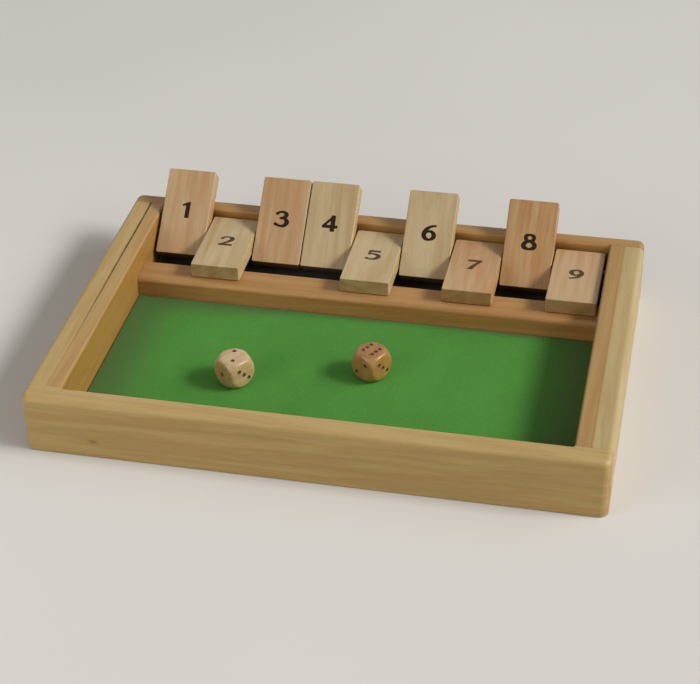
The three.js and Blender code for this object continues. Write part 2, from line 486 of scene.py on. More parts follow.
@dataclass(frozen=True)
class WoodFinish:
    """A sort of wood under thin lacquer: its colours, rings, streaks, fibres and shine.

    early, late and warm are the colours of spring growth, of summer growth and of warm patches.
    ring is a year's width, which differs by seasons with season_waves, wander and close_wander
    are how far the rings stray, and sweep how far the streaks do. bands is the streaks' waves
    across the grain. On an end, the rings show more by end_rings, the warm patches less by
    end_cools, and the shine is less by end_dulls. The flank tint is painted light and shade: it
    makes the faces beside the grain lighter or darker than the tops, as the light falls on them.
    The end tint gives the end grain its darker tone, with painted shade in it. The reliefs are
    the shares of fibres, pores and fine fibres in the tooth.
    """

    early: Colour
    late: Colour
    warm: Colour
    ring: float = 5.0
    contrast: float = 0.24
    streak: float = 0.38
    warmth: float = 0.5
    wander: float = 6.0
    close_wander: float = 0.08
    seasons: float = 1.8
    season_waves: float = 0.45
    sweep: float = 2.5
    bands: float = 0.2
    fibre: float = 0.05
    fine_fibre: float = 0.025
    pores: float = 0.088
    reliefs: Triple = (0.6, -0.5, 0.25)
    tooth: float = 0.04
    tooth_shows: float = 0.4
    roughness: float = 0.5
    fibre_dulls: float = 0.16
    end_dulls: float = 0.12
    end_rings: float = 0.2
    end_cools: float = 0.6
    refraction: float = 1.45
    lacquer: float = 0.12
    lacquer_roughness: float = 0.3
    # Painted light and shade beside the grain; the end grain's darker tone, with painted shade in
    # it
    flank: Triple = (0.95, 0.93, 0.82)
    end_tone_and_shade: Triple = (0.86, 0.75, 0.58)

    def log_place(self, bench: Bench, cut: Cut) -> tuple[Socket, Socket, Socket, Socket]:
        """Lays the log's coordinates on a piece.

        Args:
            bench: The material's nodes.
            cut: How the piece was cut.

        Returns:
            The place in the log, in millimetres, how much a face is a flank of the piece, how much
            it is an end, and how much it is the end towards the log's top. These three shares carry
            the painted light and shade of the flank and end tints and of the end shade.
        """
        where = bench.add("ShaderNodeTexCoord")
        turn = cut.turn().to_euler()
        lay = bench.add("ShaderNodeMapping", vector_type="POINT")
        sockets = [lay.inputs[name] for name in ("Vector", "Scale", "Rotation", "Location")]
        bench.feed(sockets, where.outputs["Object"], (1 / MM,) * 3, turn, cut.shift())
        facing = bench.add("ShaderNodeMapping", vector_type="VECTOR")
        sockets = [facing.inputs[name] for name in ("Vector", "Rotation")]
        bench.feed(sockets, where.outputs["Normal"], turn)
        along, beside = (bench.vector("DOT_PRODUCT", facing.outputs[0], axis)
                         for axis in ((1.0, 0.0, 0.0), (0.0, 1.0, 0.0)))
        return (lay.outputs[0], bench.span(bench.math("ABSOLUTE", beside), FLANK_SHOWS),
                bench.span(bench.math("ABSOLUTE", along), END_SHOWS),
                bench.span(along, SHADED_END_SHOWS))

    def rings(self, bench: Bench, place: Socket, push: Socket | float) -> Socket:
        """Draws the growth rings.

        Args:
            bench: The material's nodes.
            place: The place in the log.
            push: How far a knot bends the rings, in millimetres.

        Returns:
            How much of the darker summer growth shows.
        """
        swayed = bench.stir(place, (BOARD_SWAY, self.wander),
                            (RING_SWAY, self.close_wander * self.wander))
        radius = bench.vector("LENGTH", bench.vector("MULTIPLY", swayed, (0.0, 1.0, 1.0)))
        radius = bench.math("ADD", radius, push)
        years = bench.noise(bench.line(radius),
                            Texture((self.season_waves / self.ring, 1.0, 1.0), 1.0))
        phase = bench.math("ADD", bench.math("DIVIDE", radius, self.ring),
                           bench.times(years, self.seasons))
        ring = bench.curve(bench.math("FRACT", phase), RING_TONES)
        return bench.times(ring, bench.patches(place, RING_WEIGHT))

    def knotted(self, bench: Bench, place: Socket,
                cut: Cut) -> tuple[Socket | float, Socket | float]:
        """Works out a pin knot.

        Args:
            bench: The material's nodes.
            place: The place in the log.
            cut: How the piece was cut.

        Returns:
            How far the rings bend round the knot, in millimetres, and how much of its dark heart
            shows.
        """
        knot = cut.knot
        if knot is None:
            return 0.0, 0.0
        centre = cut.turn() @ Vector(knot.place) + cut.shift()
        apart = bench.vector("SUBTRACT", place, tuple(centre))
        distance = bench.vector("LENGTH", bench.vector("MULTIPLY", apart, (knot.long, 1.0, 1.0)))
        push = bench.span(distance, (knot.core, knot.reach), (knot.push, 0.0))
        return push, bench.span(distance, (knot.fades, knot.rim * knot.reach), (1.0, 0.0))

    def seamed(self, bench: Bench, colour: Socket, seam: Seam) -> Socket:
        """Darkens the wood in the groove of a joint.

        Args:
            bench: The material's nodes.
            colour: The wood's colour.
            seam: The joint.

        Returns:
            The colour with the seam in it.
        """
        across, along, _ = bench.axes(bench.place())
        apart = bench.math("ABSOLUTE", bench.math("SUBTRACT", across, seam.across))
        dark = bench.span(along, (seam.start, seam.end), (seam.near, seam.far))
        share = bench.times(bench.span(apart, (seam.full * seam.reach, seam.reach), (1.0, 0.0)),
                            dark)
        patchy = bench.patches(bench.line(along), seam.patches)
        return bench.blend(bench.times(share, patchy), colour, seam.dust)

    def growth(self, bench: Bench, cut: Cut, place: Socket, end_grain: Socket) -> Socket:
        """Colours the wood as it grew: its rings, streaks, warm patches and knot.

        Args:
            bench: The material's nodes.
            cut: How the piece was cut.
            place: The place in the log.
            end_grain: How much a face is an end of the piece.

        Returns:
            The colour.
        """
        push, heart = self.knotted(bench, place, cut)
        swept = bench.stir(place, (STREAK_SWAY, self.sweep))
        streaks = Texture((0.012, self.bands, self.bands), 3.0, 0.55, (0.40, 0.66),
                          (0.0, self.streak))
        rings = bench.times(self.rings(bench, place, push),
                            bench.scaled(end_grain, self.end_rings, self.contrast))
        late = bench.math("ADD", rings, bench.patches(swept, streaks))
        colour = bench.blend(late, self.early, self.late)
        warm = bench.times(bench.patches(place, WARM_PATCHES), bench.patches(swept, FLECKS))
        warm = bench.times(warm, bench.scaled(end_grain, -self.end_cools, 1.0))
        colour = bench.blend(bench.times(warm, self.warmth), colour, self.warm)
        if cut.knot is not None:
            colour = bench.blend(bench.times(heart, cut.knot.cover), colour, cut.knot.dark)
        return colour

    def material(self, name: str, cut: Cut) -> bpy.types.Material:
        """Makes the wood for one piece.

        Args:
            name: The material's name.
            cut: How the piece was cut.

        Returns:
            The material.
        """
        bench = Bench(name)
        place, flank, end_grain, shaded_end = self.log_place(bench, cut)
        colour = self.growth(bench, cut, place, end_grain)
        # Painted light and shade: the flank tint on the side faces, and shade in the end grain's
        # tint
        face_shading = ((flank, self.flank), (end_grain, self.end_tone_and_shade), (shaded_end, (cut.end_shade,) * 3))
        # The last tint is painted shade on the end towards the log's top, a tile's tail end
        for share, stain in face_shading:
            colour = bench.blend(share, colour, bench.vector("MULTIPLY", colour, stain))
        if cut.seam is not None:
            colour = self.seamed(bench, colour, cut.seam)
        fibre, fine = bench.noise(place, FIBRES), bench.noise(place, FINE_FIBRES)
        for thread, texture, tone in ((fibre, FIBRES, self.fibre),
                                      (fine, FINE_FIBRES, self.fine_fibre)):
            colour = bench.tint(colour, bench.span(thread, texture.shows, (1 + tone, 1 - tone)))
        pore = bench.patches(place, PORES)
        colour = bench.tint(colour, bench.scaled(pore, -self.pores, 1.0))
        dull = bench.scaled(fibre, self.fibre_dulls, self.roughness - self.fibre_dulls / 2)
        in_fibre, in_pore, in_fine = self.reliefs
        height = bench.scaled(pore, in_pore, bench.times(fibre, in_fibre))
        height = bench.scaled(fine, in_fine, height)
        return bench.finish(
            Base_Color=colour, Roughness=bench.scaled(end_grain, self.end_dulls, dull),
            Normal=bench.bump(height, self.tooth, self.tooth_shows), IOR=self.refraction,
            Coat_Weight=self.lacquer, Coat_Roughness=self.lacquer_roughness)


# Felt's textures: fibres that lie along X and along Y, and the sheet's broad and fine unevenness
FELT_STIR = Texture((0.35, 0.35, 0.35))
LENGTHWAYS = Texture((0.5, 3.4, 1.0), 3.0, 0.6)
CROSSWAYS = Texture((3.1, 0.45, 1.0), 3.0, 0.6)
MOTTLE = Texture((0.035, 0.035, 0.035), 3.0, 0.6, (0.25, 0.75), (0.93, 1.07))
GRIT = Texture((2.2, 2.2, 2.2), 3.0, 0.7)
# How far the edge of the painted wall shade wanders
WALL_SHADE_SWAY = Texture((0.05, 0.05, 0.05))


@dataclass(frozen=True)
class FeltFinish:
    """Pressed felt: its dye, its paler loose fibres, painted shade along the walls, and its nap.

    loose and hollow are how much the paler fibres and the deep places between them show, and the
    shade's tones how bright the painted shade is in its low and high places. Each has a span, the
    noise's values at which it starts and is full. The painted shade, a greyer dark green that
    stands for the shade along the walls and the rail, comes in up to a reach from a side wall, and
    up to
    rear from the rear one: at the left end, and from the middle to the right. stir and stray are
    how far the fibres and the shade's edge wander.
    """

    dye: Colour
    fibre: Colour
    deep: Colour
    wall_shade: Colour
    loose: float = 0.5
    loose_span: Pair = (0.48, 0.74)
    hollow: float = 0.45
    hollow_span: Pair = (0.52, 0.30)
    wall_shade_tones: Pair = (0.85, 1.12)
    wall_shade_span: Pair = (0.3, 0.6)
    stir: float = 1.6
    stray: float = 3.0
    wall_shade_reach: float = 36.0
    rear: Pair = (20.0, 6.0)
    relief: float = 0.6
    nap: float = 0.22
    nap_shows: float = 0.6
    roughness: Pair = (0.98, 0.88)
    specular: float = 0.4

    def edges(self, bench: Bench, place: Socket, low: Triple, high: Triple) -> Socket:
        """Works out where painted shade greys and darkens the felt along the walls and the rail.

        Args:
            bench: The material's nodes.
            place: The place on the sheet, in millimetres.
            low: The sheet's lowest corner.
            high: Its highest corner.

        Returns:
            How clear of painted shade the felt is.
        """
        across, along, _ = bench.axes(bench.stir(place, (WALL_SHADE_SWAY, self.stray)))
        sides = bench.math("MINIMUM", bench.math("SUBTRACT", across, low[0]),
                           bench.math("SUBTRACT", high[0], across))
        rear = bench.math("DIVIDE", bench.math("SUBTRACT", high[1], along),
                          bench.span(across, (low[0], 0.0), self.rear))
        return bench.times(bench.span(sides, (0.0, self.wall_shade_reach)), bench.span(rear, WHOLE))

    def material(self, name: str, low: Triple, high: Triple) -> bpy.types.Material:
        """Makes the felt.

        Args:
            name: The material's name.
            low: The sheet's lowest corner, in millimetres.
            high: Its highest corner.

        Returns:
            The material.
        """
        bench = Bench(name)
        place = bench.place()
        stirred = bench.stir(place, (FELT_STIR, self.stir))
        tangle = bench.math("MAXIMUM", bench.noise(stirred, LENGTHWAYS),
                            bench.noise(stirred, CROSSWAYS))
        grit = bench.noise(place, GRIT)
        loose = bench.span(tangle, self.loose_span, (0.0, self.loose))
        hollow = bench.span(grit, self.hollow_span, (0.0, self.hollow))
        colour = bench.blend(hollow, bench.blend(loose, self.dye, self.fibre), self.deep)
        colour = bench.tint(colour, bench.patches(place, MOTTLE))
        # Painted shade: a greyer dark green along the walls and the rail, where their shade falls
        wall_shade = bench.tint(self.wall_shade[:3], bench.span(grit, self.wall_shade_span, self.wall_shade_tones))
        colour = bench.blend(self.edges(bench, place, low, high), wall_shade, colour)
        height = bench.scaled(grit, self.relief, bench.times(tangle, self.relief))
        return bench.finish(
            Base_Color=colour, Roughness=bench.span(tangle, MOST, self.roughness),
            Normal=bench.bump(height, self.nap, self.nap_shows),
            Specular_IOR_Level=self.specular)


@dataclass(frozen=True)
class TwoToneFinish:
    """An almost even finish with a fine tooth, and patches of a second tone in it.

    The second tone shows in the patches of tooth and of cloud; where there is no cloud, or the
    tooth isn't mottled, in the other's alone. roughness is the tooth's at its low and high places,
    and depth and strength are its bump's.
    """

    ground: Colour
    patch: Colour
    tooth: Texture
    roughness: Pair
    depth: float
    strength: float
    mottled: bool = True
    cloud: Texture | None = None
    metallic: float = 0.0
    specular: float = 0.5

    def material(self, name: str) -> bpy.types.Material:
        """Makes the finish.

        Args:
            name: The material's name.

        Returns:
            The material.
        """
        bench = Bench(name)
        place = bench.place()
        tooth = bench.noise(place, self.tooth)
        shares = []
        if self.mottled:
            shares.append(bench.span(tooth, self.tooth.shows, self.tooth.gives))
        if self.cloud is not None:
            shares.append(bench.patches(place, self.cloud))
        share = bench.times(*shares) if len(shares) > 1 else shares[0]
        return bench.finish(
            Base_Color=bench.blend(share, self.ground, self.patch), Metallic=self.metallic,
            Roughness=bench.span(tooth, MOST, self.roughness), Specular_IOR_Level=self.specular,
            Normal=bench.bump(tooth, self.depth, self.strength))


def wood(early: Shade, late: Shade, warm: Shade, **traits: object) -> WoodFinish:
    """Names a wood by its three colours as a screen shows them, and by its other traits."""
    return WoodFinish(paint(*early), paint(*late), paint(*warm), **traits)


# The frame's boards. Their flank tints are painted light and shade: on the rail and the back
# board they paint light on the faces beside the top, and on the cheeks darker, yellower shade.
FRAME_WOOD = wood((183, 156, 102), (156, 122, 66), (180, 138, 80), flank=(0.98, 0.98, 0.88))
PALE_FRAME_WOOD = wood((181, 160, 113), (156, 127, 77), (176, 143, 93), flank=(0.98, 0.98, 0.88))
BACK_WOOD = wood((166, 130, 76), (142, 102, 52), (164, 116, 60), flank=(1.2, 1.1, 1.0))
CHEEK_WOOD = wood((178, 146, 92), (154, 116, 60), (172, 128, 72), ring=4.0,
                  flank=(0.82, 0.70, 0.42))
SHADED_CHEEK_WOOD = wood((168, 136, 82), (146, 108, 54), (164, 118, 62), ring=4.0,
                         flank=(0.82, 0.70, 0.42))
RAIL_WOOD = wood((172, 132, 80), (146, 100, 50), (168, 112, 56), ring=4.5, contrast=0.34,
                 streak=0.5, flank=(1.2, 1.15, 1.1))
PLYWOOD = wood((190, 164, 122), (164, 130, 84), (178, 144, 98), ring=9.0, wander=14.0,
               roughness=0.7, lacquer=0.0, pores=0.2)

# The tiles and the dice
PALE_TILE = wood((192, 172, 134), (164, 136, 88), (184, 146, 96), streak=0.5, bands=0.13,
                 contrast=0.34)
WARM_TILE = wood((188, 159, 120), (166, 124, 78), (184, 130, 80), warmth=0.8, streak=0.55,
                 bands=0.13, contrast=0.34)
TAWNY_TILE = wood((184, 152, 108), (158, 110, 60), (178, 120, 66), warmth=0.8, streak=0.65,
                  bands=0.13, contrast=0.4)
DIE_WOOD = wood((196, 172, 130), (166, 130, 84), (182, 140, 92), ring=2.6, wander=2.0,
                roughness=0.32, lacquer=0.5)
WARM_DIE_WOOD = wood((176, 134, 76), (140, 94, 44), (168, 108, 56), ring=2.2, wander=2.0,
                     roughness=0.32, lacquer=0.5)

# Green felt, with a greyer green as painted shade along the walls and the rail
GREEN_FELT = FeltFinish(dye=paint(70, 134, 48), fibre=paint(88, 150, 66), deep=paint(48, 106, 34),
                        wall_shade=paint(71, 102, 50))

# A near-black finish for the well's floor under the standing tiles, with a little dust in its tooth
BLACK_CARD = TwoToneFinish(
    ground=paint(74, 76, 71), patch=paint(90, 91, 84), roughness=(0.62, 0.82), depth=0.06,
    strength=0.5, tooth=Texture((1.8, 1.8, 1.8), 4.0, 0.65, (0.4, 0.66), (0.1, 0.75)),
    cloud=Texture((0.05, 0.12, 0.1), 3.0, 0.6, (0.42, 0.7)))

# Drawn steel wire, with its drawing lines along X and a thin dull film in patches
ROD_STEEL = TwoToneFinish(
    ground=paint(104, 101, 96), patch=paint(72, 68, 62), roughness=(0.5, 0.7), depth=0.01,
    strength=0.4, tooth=Texture((0.03, 6.0, 6.0), 3.0, 0.6), mottled=False,
    cloud=Texture((0.06, 0.5, 0.5), 3.0, 0.55, (0.4, 0.7)), metallic=1.0)

# Printing ink on wood, thinner where the grain tells through, and browner where it is rubbed
BLACK_INK = TwoToneFinish(
    ground=paint(42, 30, 18), patch=paint(74, 58, 40), roughness=(0.55, 0.75), depth=0.015,
    strength=0.4, tooth=Texture((4.6, 0.5, 1.0), 3.0, 0.6, (0.50, 0.74)),
    cloud=Texture((0.9, 0.9, 0.9), shows=(0.42, 0.70)), specular=0.1)
# A lighter, browner copy of the ink, for the figures on the tiles that lie flat
FLAT_TILE_INK = replace(BLACK_INK, ground=paint(80, 63, 43), patch=paint(124, 103, 74))

# Dark stain in a drilled pip, in which end fibres show; it is duller than the lacquer round it
PIP_STAIN = TwoToneFinish(
    ground=paint(62, 36, 20), patch=paint(92, 58, 32), roughness=(0.45, 0.62), depth=0.05,
    strength=0.5, tooth=Texture((2.8, 2.8, 2.8), 3.0, 0.6, (0.42, 0.72)))


@dataclass(frozen=True)
class Easing:
    """How the last sharp edges of a piece of the frame are rounded, in millimetres and degrees.

    Corners closer than weld are joined, faces within same_face of each other are made one, and
    edges sharper than sharp are rounded by width. weight evens out the shading of large faces.
    """

    width: float = 0.15
    weld: float = 0.002
    same_face: float = 0.5
    sharp: float = 55.0
    segments: int = 2
    weight: int = 80

    def apply(self, piece: bpy.types.Object) -> None:
        """Rounds the edges by modifiers, and shades the faces as smooth ones.

        Args:
            piece: The piece, whose own vertices and faces stay as they are.
        """
        steps = (
            ("joined_corners", "WELD", {"merge_threshold": self.weld * MM}),
            ("whole_faces", "DECIMATE", {"decimate_type": "DISSOLVE",
                                         "angle_limit": math.radians(self.same_face)}),
            ("eased_edges", "BEVEL", {"width": self.width * MM, "segments": self.segments,
                                      "limit_method": "ANGLE", "use_clamp_overlap": True,
                                      "angle_limit": math.radians(self.sharp)}),
            ("even_shading", "WEIGHTED_NORMAL", {"weight": self.weight, "keep_sharp": False}),
        )
        for name, kind, settings in steps:
            step = piece.modifiers.new(name, kind)
            for key, value in settings.items():
                setattr(step, key, value)
        for polygon in piece.data.polygons:
            polygon.use_smooth = True


def dress(piece: bpy.types.Object, material: bpy.types.Material) -> None:
    """Gives a piece one material and nothing else."""
    piece.data.materials.clear()
    piece.data.materials.append(material)


def new_object(name: str, data: bpy.types.ID) -> bpy.types.Object:
    """Puts a new object in the scene.

    Args:
        name: The object's name.
        data: Its mesh, lamp or camera.

    Returns:
        The object.
    """
    thing = bpy.data.objects.new(name, data)
    bpy.context.scene.collection.objects.link(thing)
    return thing


def new_piece(name: str, mesh: bpy.types.Mesh, smooth: bool = True) -> bpy.types.Object:
    """Puts a new mesh in the scene.

    Args:
        name: The piece's name.
        mesh: Its mesh.
        smooth: Whether its faces are shaded as one smooth surface.

    Returns:
        The piece.
    """
    for polygon in mesh.polygons:
        polygon.use_smooth = smooth
    return new_object(name, mesh)


def as_mesh(made: bmesh.types.BMesh, name: str, closed: bool = False) -> bpy.types.Mesh:
    """Turns worked faces into a mesh, and frees them.

    Args:
        made: The faces.
        name: The mesh's name.
        closed: Whether they are a closed form in millimetres, to be turned outwards and brought
            to metres.

    Returns:
        The mesh.
    """
    if closed:
        bmesh.ops.recalc_face_normals(made, faces=made.faces)
    mesh = bpy.data.meshes.new(name)
    made.to_mesh(mesh)
    made.free()
    if closed:
        mesh.transform(Matrix.Scale(MM, 4))
    return mesh


def bridge(made: bmesh.types.BMesh, first: Sequence[bmesh.types.BMVert],
           second: Sequence[bmesh.types.BMVert]) -> None:
    """Joins two rings by faces all round.

    Args:
        made: The faces made so far.
        first: The vertices of one ring.
        second: As many vertices, of the other.
    """
    for k in range(len(first)):
        n = (k + 1) % len(first)
        made.faces.new((first[k], first[n], second[n], second[k]))


def middle_of(node: str) -> Triple:
    """Gives the middle of a node of the frame, in millimetres."""
    low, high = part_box(node)
    return tuple((low + high) / (2 * MM))


@dataclass(frozen=True)
class GlueLine:
    """A line of glue and lacquer that fills the groove on top of a joint that runs along Y.

    levels gives places along Y and how far the line lies under the boards' top there. skin gives
    its upper side, as shares of half its width and how far it sags there.
    """

    across: float
    levels: tuple[Pair, ...]
    top: float = 33.0
    gap: float = 0.1
    rounding: float = 0.7
    skin: tuple[Pair, ...] = ((-1.0, 0.0), (-0.5, 0.03), (0.0, 0.04), (0.5, 0.03), (1.0, 0.0))
    foot: float = 1.0
    foot_share: float = 0.3
    step: float = 2.0
    ripple: float = 0.012
    ripple_waves: float = 0.2

    def half_width(self, under: float) -> float:
        """Gives half the groove's width at a depth under the boards' top, in millimetres."""
        rest = max(0.0, self.rounding - under)
        return self.gap / 2 + self.rounding - math.sqrt(max(0.0, self.rounding**2 - rest**2))

    def mesh(self, name: str) -> bpy.types.Mesh:
        """Builds the line.

        Args:
            name: The mesh's name.

        Returns:
            Its closed mesh, in the row frame.
        """
        places, depths = zip(*self.levels)
        steps = round((places[-1] - places[0]) / self.step)
        made = bmesh.new()
        rings: list[list[bmesh.types.BMVert]] = []
        for y in np.linspace(places[0], places[-1], steps + 1):
            wave = noise.noise(Vector((y * self.ripple_waves, self.across, 0.0)))
            under = float(np.interp(y, places, depths)) + self.ripple * wave
            half = self.half_width(under)
            shape = [(share * half, under + sag) for share, sag in self.skin]
            shape += [(side * self.foot_share * half, self.foot) for side in (1, -1)]
            rings.append([made.verts.new((self.across + x, y, self.top - d)) for x, d in shape])
        for before, after in zip(rings, rings[1:]):
            bridge(made, before, after)
        made.faces.new(rings[0])
        made.faces.new(rings[-1][::-1])
        return as_mesh(made, name, closed=True)


@dataclass
class Tray:
    """The fixed tray: its boards, cheeks, rail, floor panel, well's floor and rod.

    joint is how far the joints between side boards and cheeks lie from the tray's middle. The
    height and the pith that follow are those of the glue in them. knot is in the front board.
    """

    nodes: dict[str, bpy.types.Object]
    joint: float = 134.55
    joint_height: float = 32.5
    joint_pith: Pair = (12.0, -30.0)
    knot: Knot = Knot(place=(-109.0, -101.75, 10.0))

    def cuts(self) -> dict[str, tuple[WoodFinish, Cut]]:
        """Says how each wooden piece of the tray was cut.

        Returns:
            The finish and the cut of each piece, by the node's name.
        """
        across, upright = Grain.ALONG_X, Grain.ALONG_Y
        plan: dict[str, tuple[WoodFinish, Grain, Pair, Pair, float]] = {
            "front_board": (FRAME_WOOD, across, (34.0, -58.0), (0.6, 1.5), 1.0),
            "back_board": (BACK_WOOD, across, (-42.0, -40.0), (-0.8, -1.2), 2.0),
            "left_board": (FRAME_WOOD, upright, (30.0, -46.0), (1.0, 1.6), 3.0),
            "right_board": (PALE_FRAME_WOOD, upright, (-26.0, -52.0), (0.8, -1.4), 4.0),
            "left_cheek": (CHEEK_WOOD, upright, (22.0, -30.0), (0.6, 1.0), 5.0),
            "right_cheek": (SHADED_CHEEK_WOOD, upright, (-24.0, -34.0), (-0.7, 1.2), 6.0),
            "rail": (RAIL_WOOD, across, (-20.0, -30.0), (0.5, 0.9), 7.0),
            "base_panel": (PLYWOOD, across, (10.0, 34.0), (0.4, 0.3), 8.0),
        }
        dark_seam = Seam(across=-self.joint, near=0.1, far=0.95)
        marks = {"front_board": {"knot": self.knot}, "left_board": {"seam": dark_seam},
                 "left_cheek": {"seam": dark_seam}}
        return {
            name: (finish, Cut(grain, middle_of(name), pith, lean, seed, **marks.get(name, {})))
            for name, (finish, grain, pith, lean, seed) in plan.items()
        }

    def fill_seams(self) -> None:
        """Lays the glue and lacquer in the grooves on top of the side boards' joints.

        The left line lies level with the boards at the front and sinks towards the back.
        """
        sinking = ((-90.6, 0.04), (-70.0, 0.10), (-45.0, 0.26), (-15.0, 0.5), (60.0, 0.62),
                   (87.1, 0.62))
        level = ((-90.6, 0.03), (87.1, 0.03))
        seams = (("left", GlueLine(-self.joint, sinking), CHEEK_WOOD),
                 ("right", GlueLine(self.joint, level), SHADED_CHEEK_WOOD))
        for side, line, finish in seams:
            name = side + "_glue_line"
            piece = new_piece(name, line.mesh(name))
            middle = (line.across, 0.0, self.joint_height)
            cut = Cut(Grain.ALONG_Y, middle, self.joint_pith)
            dress(piece, finish.material(name + "_lacquer", cut))
            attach(piece, "tray")
            LOG.info("filled the %s seam", side)

    def dress(self) -> None:
        """Gives every fixed piece its finish."""
        for name, (finish, cut) in self.cuts().items():
            dress(self.nodes[name], finish.material(name + "_wood", cut))
            Easing().apply(self.nodes[name])
            LOG.info("dressed %s", name)
        for name, finish, called, width in (("well_floor", BLACK_CARD, "well_card", 0.1),
                                            ("tile_rod", ROD_STEEL, "rod_wire", 0.2)):
            dress(self.nodes[name], finish.material(called))
            Easing(width).apply(self.nodes[name])
            LOG.info("dressed %s", name)
        self.fill_seams()


@dataclass
class FeltFloor:
    """The felt on the floor of the rolling area: one sheet, cut a little unevenly.

    edge is the radius of its soft edge, and uneven how far its cut strays. The waves are for each
    millimetre, each with its share and its layer of the noise; sides are the cut's lengths.
    """

    node: str = "felt_sheet"
    body: str = "tray"
    step: float = 1.6
    edge: float = 0.35
    edge_steps: int = 4
    rim_width: float = 1.0
    uneven: float = 0.22
    nap: float = 0.035
    sides: Pair = (250.0, 120.0)
    cut_waves: tuple[Triple, ...] = ((0.045, 1.0, 0.0), (0.3, 0.4, 5.0))
    nap_waves: tuple[Triple, ...] = ((0.11, 1.0, 0.0), (0.6, 0.6, 3.0))

    def inset(self, along: float, seed: float) -> float:
        """Lets the cut edge wander inwards.

        Args:
            along: The place along the edge.
            seed: The edge's own number.

        Returns:
            How far the edge is inwards there, in millimetres.
        """
        wave = sum(share * noise.noise(Vector((along * waves, seed, layer)))
                   for waves, share, layer in self.cut_waves)
        return self.uneven * (0.5 + 0.5 * max(-1.0, min(1.0, wave)))

    def sag(self, x: float, y: float) -> float:
        """Lets the nap rise and fall.

        Args:
            x: The place along X.
            y: The place along Y.

        Returns:
            How far the nap lies under the sheet's full height, in millimetres.
        """
        rise = sum(share * noise.noise(Vector((x * waves, y * waves, layer)))
                   for waves, share, layer in self.nap_waves)
        return self.nap * (1.0 + rise)

    def mesh(self) -> bpy.types.Mesh:
        """Builds the sheet.

        Returns:
            Its mesh, in the row frame.
        """
        low, high = (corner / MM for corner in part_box(self.node))
        columns = round((high.x - low.x) / self.step)
        rows = round((high.y - low.y) / self.step)
        wide, deep = self.sides
        us, vs = ([k / count for k in range(count + 1)] for count in (columns, rows))
        fronts = [low.y + self.edge + self.inset(u * wide, 1.0) for u in us]
        backs = [high.y - self.edge - self.inset(u * wide, 2.0) for u in us]
        lefts = [low.x + self.edge + self.inset(v * deep, 3.0) for v in vs]
        rights = [high.x - self.edge - self.inset(v * deep, 4.0) for v in vs]
        grid = bmesh.new()
        places: list[list[bmesh.types.BMVert]] = []
        for v, left, right in zip(vs, lefts, rights):
            places.append([])
            for u, front, back in zip(us, fronts, backs):
                x, y = left + (right - left) * u, front + (back - front) * v
                places[-1].append(grid.verts.new((x, y, high.z - self.sag(x, y))))
        for lower, upper in zip(places, places[1:]):
            for i in range(columns):
                grid.faces.new((lower[i], lower[i + 1], upper[i + 1], upper[i]))
        rim = (places[0][:-1] + [line[-1] for line in places[:-1]] + places[-1][:0:-1]
               + [line[0] for line in places[:0:-1]])
        self.close(grid, rim, low.z)
        return as_mesh(grid, "felt", closed=True)

    def close(self, grid: bmesh.types.BMesh, rim: list[bmesh.types.BMVert], floor: float) -> None:
        """Rolls the rim over and closes the sheet underneath.

        Args:
            grid: The sheet, which holds its upper side so far.
            rim: The vertices round that side, in order.
            floor: The height of the lower side, in millimetres.
        """
        centre = sum((v.co for v in rim), Vector()) / len(rim)
        half_x = max(abs(v.co.x - centre.x) for v in rim) - self.rim_width
        half_y = max(abs(v.co.y - centre.y) for v in rim) - self.rim_width
        outs = []
        for vert in rim:
            away = vert.co - centre
            out = Vector((math.copysign(1.0, away.x) if abs(away.x) > half_x else 0.0,
                          math.copysign(1.0, away.y) if abs(away.y) > half_y else 0.0, 0.0))
            outs.append(out.normalized())
        last = rim
        for level in range(1, self.edge_steps + 2):
            angle = min(level / self.edge_steps, 1.0) * math.pi / 2
            reach, drop = self.edge * math.sin(angle), self.edge * (1 - math.cos(angle))
            ring = []
            for vert, out in zip(rim, outs):
                height = vert.co.z - drop if level <= self.edge_steps else floor
                place = (vert.co.x + out.x * reach, vert.co.y + out.y * reach, height)
                ring.append(grid.verts.new(place))
            for k, vert in enumerate(last):
                n = (k + 1) % len(last)
                grid.faces.new((vert, ring[k], ring[n], last[n]))
            last = ring
        grid.faces.new(last)

    def build(self) -> None:
        felt = new_piece("felt", self.mesh())
        low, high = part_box(self.node)
        dress(felt, GREEN_FELT.material("green_felt_nap", tuple(low / MM), tuple(high / MM)))
        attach(felt, self.body)
        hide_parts(self.node)
        LOG.info("laid the felt, %d faces", len(felt.data.polygons))


@dataclass(frozen=True)
class Stroke:
    """A pull of the pen: points with x, y and the pen's width there, and cuts that trim it.

    A cut is (across, up, limit), and keeps the side where across * x + up * y is at most limit.
    """

    points: tuple[Triple, ...]
    closed: bool = False
    cuts: tuple[Triple, ...] = ()
    steps: int = 22

    def samples(self) -> np.ndarray:
        """Runs a smooth line through the points.

        Returns:
            Rows of x, y and half the width.
        """
        given = np.array(self.points, float)
        if self.closed:
            given = np.vstack((given[-1], given, given[:2]))
        else:
            given = np.vstack((2 * given[0] - given[1], given, 2 * given[-1] - given[-2]))
        rows = []
        for before, start, end, after in zip(given, given[1:], given[2:], given[3:]):
            for t in np.linspace(0.0, 1.0, self.steps, endpoint=False):
                rows.append(0.5 * (2 * start + (end - before) * t
                                   + (2 * before - 5 * start + 4 * end - after) * t**2
                                   + (3 * start - before - 3 * end + after) * t**3))
        if not self.closed:
            rows.append(given[-2])
        line = np.array(rows)
        line[:, 2] /= 2
        return line


